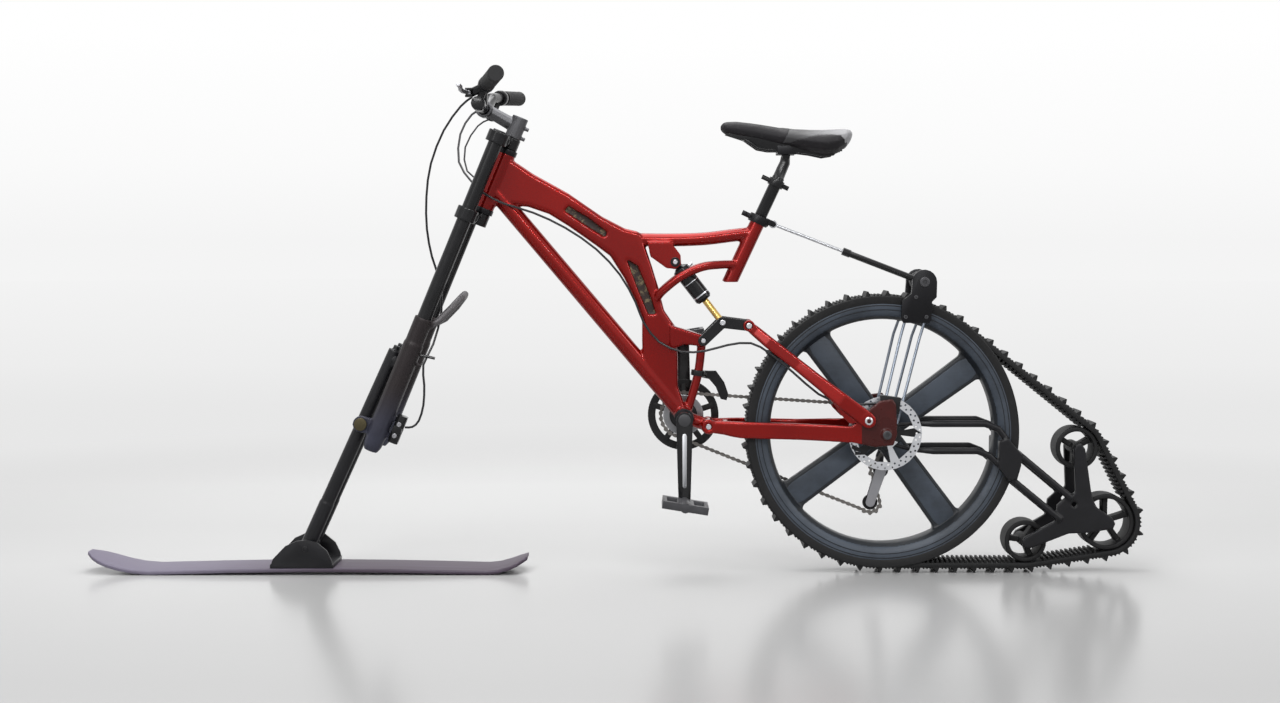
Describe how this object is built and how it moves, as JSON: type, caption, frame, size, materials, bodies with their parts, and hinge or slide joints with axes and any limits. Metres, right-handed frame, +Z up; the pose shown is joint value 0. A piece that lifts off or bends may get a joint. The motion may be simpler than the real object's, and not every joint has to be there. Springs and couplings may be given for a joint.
{
  "type": "snow bike",
  "caption": "Full-suspension bicycle for snow: a ski on struts in front, and a rubber track round the rear wheel and its guide wheels.",
  "frame": {"origin": "middle of the object's box, on the ground under it", "axes": "+Z up, +X towards the rear (the ski is at -X), +Y towards the chain side"},
  "size_m": [2.3102, 0.6702, 1.0797],
  "materials": {
    "candy_red": "gloss",
    "satin_black": "satin",
    "slate_grey": "satin",
    "black_rubber": "matte",
    "bright_steel": "polished",
    "grey_aluminium": "satin",
    "gold_shaft": "polished",
    "fork_brown_grey": "satin",
    "ski_lavender": "satin",
    "saddle_cover": "satin",
    "black_plastic": "matte"
  },
  "bodies": {
    "frame": {"main_frame": "candy_red", "headset_lower": "satin_black", "headset_upper": "satin_black", "bottom_bracket": "satin_black", "seat_clamp": "satin_black", "front_derailleur_body": "satin_black", "rear_brake_hose": "black_rubber", "shift_cable": "black_rubber", "chain": "bright_steel"},
    "fork": {"lower_crown": "satin_black", "upper_crown": "satin_black", "stanchion_left": "satin_black", "stanchion_right": "satin_black", "stem": "grey_aluminium", "handlebar": "grey_aluminium", "grip_left": "black_rubber", "grip_right": "black_rubber", "brake_perch_left": "satin_black", "brake_perch_right": "satin_black", "front_brake_hose": "black_rubber"},
    "fork_lower": {"fork_lowers": "fork_brown_grey", "front_axle": "grey_aluminium", "ski_struts": "satin_black", "front_caliper": "satin_black"},
    "ski_unit": {"ski": "ski_lavender", "ski_mount": "satin_black"},
    "lever_left": {"brake_lever_left": "grey_aluminium"},
    "lever_right": {"brake_lever_right": "grey_aluminium"},
    "post": {"seat_post": "satin_black"},
    "saddle_unit": {"saddle": "saddle_cover", "saddle_rails": "bright_steel", "saddle_clamp": "grey_aluminium"},
    "swingarm": {"chain_stays": "candy_red", "rear_caliper": "satin_black", "derailleur_body": "satin_black"},
    "stays": {"seat_stays": "candy_red"},
    "rocker": {"rocker_link": "satin_black"},
    "shock_top": {"shock_body": "satin_black"},
    "shock_lower": {"shock_shaft": "gold_shaft"},
    "track_frame": {"track_arms": "satin_black", "torque_arm": "satin_black", "track_belt": "black_rubber"},
    "wheel": {"drive_wheel": "slate_grey", "brake_rotor": "bright_steel"},
    "cogs": {"cassette": "bright_steel"},
    "idler_top": {"upper_idler": "black_plastic"},
    "idler_low": {"lower_idler": "black_plastic"},
    "idler_tail": {"tail_wheel": "black_plastic"},
    "rod_front": {"rod_inner": "bright_steel"},
    "rod_rear": {"rod_tube": "satin_black"},
    "cranks": {"crank_left": "satin_black", "crank_right": "satin_black", "chainring_large": "satin_black", "chainring_small": "bright_steel"},
    "pedal_near": {"pedal_left": "grey_aluminium"},
    "pedal_far": {"pedal_right": "grey_aluminium"},
    "cage": {"derailleur_cage": "grey_aluminium"},
    "pulley_guide": {"guide_pulley": "black_plastic"},
    "pulley_tension": {"tension_pulley": "black_plastic"},
    "front_cage": {"front_derailleur_cage": "grey_aluminium"}
  },
  "joints": [
    {"name": "steering", "type": "hinge", "parent": "frame", "child": "fork", "pos_m": [-0.30484, 0, 0.75994], "axis": [0.3769, 0, 0.9263], "range_deg": [-40, 40], "deforming": ["rear_brake_hose", "shift_cable"]},
    {"name": "fork_travel", "type": "slide", "parent": "fork", "child": "fork_lower", "axis": [0.3769, 0, 0.9263], "range_m": [0, 0.1], "stiffness_N_per_m": 6000, "springref_m": -0.05, "deforming": ["front_brake_hose"]},
    {"name": "ski_pitch", "type": "hinge", "parent": "fork_lower", "child": "ski_unit", "pos_m": [-0.6725, 0, 0.056], "axis": [0, -1, 0], "range_deg": [-15, 15]},
    {"name": "lever_left_pull", "type": "hinge", "parent": "fork", "child": "lever_left", "pos_m": [-0.3055, -0.184, 1.036], "axis": [0, 0, 1], "range_deg": [0, 18], "stiffness_Nm_per_rad": 1.5, "springref_deg": -11.46},
    {"name": "lever_right_pull", "type": "hinge", "parent": "fork", "child": "lever_right", "pos_m": [-0.3055, 0.184, 1.036], "axis": [0, 0, -1], "range_deg": [0, 18], "stiffness_Nm_per_rad": 1.5, "springref_deg": -11.46},
    {"name": "seat_post_slide", "type": "slide", "parent": "frame", "child": "post", "axis": [0.4242, 0, 0.9056], "range_m": [-0.06, 0.04]},
    {"name": "saddle_tilt", "type": "hinge", "parent": "post", "child": "saddle_unit", "pos_m": [0.3745, 0, 0.911], "axis": [0, -1, 0], "range_deg": [-10, 10]},
    {"name": "swingarm_pivot", "type": "hinge", "parent": "frame", "child": "swingarm", "pos_m": [0.2035, 0, 0.319], "axis": [0, -1, 0], "range_deg": [0, 10], "stiffness_Nm_per_rad": 500, "springref_deg": -17.19, "deforming": ["rear_brake_hose", "chain"]},
    {"name": "stay_pivot", "type": "hinge", "parent": "swingarm", "child": "stays", "pos_m": [0.545, 0, 0.338], "axis": [0, -1, 0], "range_deg": [-5.9, 0]},
    {"name": "rocker_pivot", "type": "hinge", "parent": "frame", "child": "rocker", "pos_m": [0.1925, 0, 0.506], "axis": [0, -1, 0], "range_deg": [0, 25.3]},
    {"name": "shock_pivot", "type": "hinge", "parent": "frame", "child": "shock_top", "pos_m": [0.131, 0, 0.678], "axis": [0, -1, 0], "range_deg": [-2.7, 0]},
    {"name": "shock_travel", "type": "slide", "parent": "shock_top", "child": "shock_lower", "axis": [0.6152, 0, -0.7884], "range_m": [-0.0243, 0]},
    {"name": "track_pitch", "type": "hinge", "parent": "swingarm", "child": "track_frame", "pos_m": [0.584, 0, 0.308], "axis": [0, -1, 0], "range_deg": [-10.1, 0]},
    {"name": "rod_pivot", "type": "hinge", "parent": "frame", "child": "rod_front", "pos_m": [0.3465, 0, 0.761], "axis": [0, -1, 0], "range_deg": [0, 10.6]},
    {"name": "rod_travel", "type": "slide", "parent": "rod_front", "child": "rod_rear", "axis": [0.9328, 0, -0.3605], "range_m": [-0.0221, 0]},
    {"name": "wheel_spin", "type": "hinge", "parent": "track_frame", "child": "wheel", "pos_m": [0.584, 0, 0.308], "axis": [0, -1, 0], "continuous": true, "deforming": ["track_belt"]},
    {"name": "upper_idler_spin", "type": "hinge", "parent": "track_frame", "child": "idler_top", "pos_m": [1.009, 0, 0.271], "axis": [0, -1, 0], "continuous": true},
    {"name": "lower_idler_spin", "type": "hinge", "parent": "track_frame", "child": "idler_low", "pos_m": [0.8965, 0, 0.068], "axis": [0, -1, 0], "continuous": true},
    {"name": "tail_wheel_spin", "type": "hinge", "parent": "track_frame", "child": "idler_tail", "pos_m": [1.073, 0, 0.11], "axis": [0, -1, 0], "continuous": true},
    {"name": "crank_spin", "type": "hinge", "parent": "frame", "child": "cranks", "pos_m": [0.15, 0, 0.337], "axis": [0, -1, 0], "continuous": true, "deforming": ["chain"]},
    {"name": "cassette_spin", "type": "hinge", "parent": "swingarm", "child": "cogs", "pos_m": [0.584, 0, 0.308], "axis": [0, -1, 0], "continuous": true},
    {"name": "pedal_left_spin", "type": "hinge", "parent": "cranks", "child": "pedal_near", "pos_m": [0.15, -0.13, 0.162], "axis": [0, -1, 0], "continuous": true},
    {"name": "pedal_right_spin", "type": "hinge", "parent": "cranks", "child": "pedal_far", "pos_m": [0.15, 0.13, 0.512], "axis": [0, -1, 0], "continuous": true},
    {"name": "cage_swing", "type": "hinge", "parent": "swingarm", "child": "cage", "pos_m": [0.592, 0.0663, 0.212], "axis": [0, -1, 0], "range_deg": [-15, 30], "stiffness_Nm_per_rad": 1, "deforming": ["chain"]},
    {"name": "guide_pulley_spin", "type": "hinge", "parent": "cage", "child": "pulley_guide", "pos_m": [0.592, 0.0663, 0.212], "axis": [0, -1, 0], "continuous": true},
    {"name": "tension_pulley_spin", "type": "hinge", "parent": "cage", "child": "pulley_tension", "pos_m": [0.568, 0.0663, 0.14], "axis": [0, -1, 0], "continuous": true},
    {"name": "front_cage_shift", "type": "slide", "parent": "frame", "child": "front_cage", "axis": [0, 1, 0], "range_m": [0, 0.0085], "deforming": ["chain"]}
  ],
  "couplings": [
    {"joint": "stay_pivot", "follows": "swingarm_pivot", "ratio": -0.58075},
    {"joint": "rocker_pivot", "follows": "swingarm_pivot", "ratio": 2.5182},
    {"joint": "shock_pivot", "follows": "swingarm_pivot", "ratio": -0.26218},
    {"joint": "shock_travel", "follows": "swingarm_pivot", "m_per_rad": -0.1382},
    {"joint": "track_pitch", "follows": "swingarm_pivot", "ratio": -1},
    {"joint": "rod_pivot", "follows": "swingarm_pivot", "ratio": 1.0537},
    {"joint": "rod_travel", "follows": "swingarm_pivot", "m_per_rad": -0.12581},
    {"joint": "upper_idler_spin", "follows": "wheel_spin", "ratio": 6.0787},
    {"joint": "lower_idler_spin", "follows": "wheel_spin", "ratio": 6.2109},
    {"joint": "tail_wheel_spin", "follows": "wheel_spin", "ratio": 4.6455},
    {"joint": "cassette_spin", "follows": "crank_spin", "ratio": 1.0417},
    {"joint": "guide_pulley_spin", "follows": "crank_spin", "ratio": -2.2785},
    {"joint": "tension_pulley_spin", "follows": "crank_spin", "ratio": 2.2785}
  ]
}
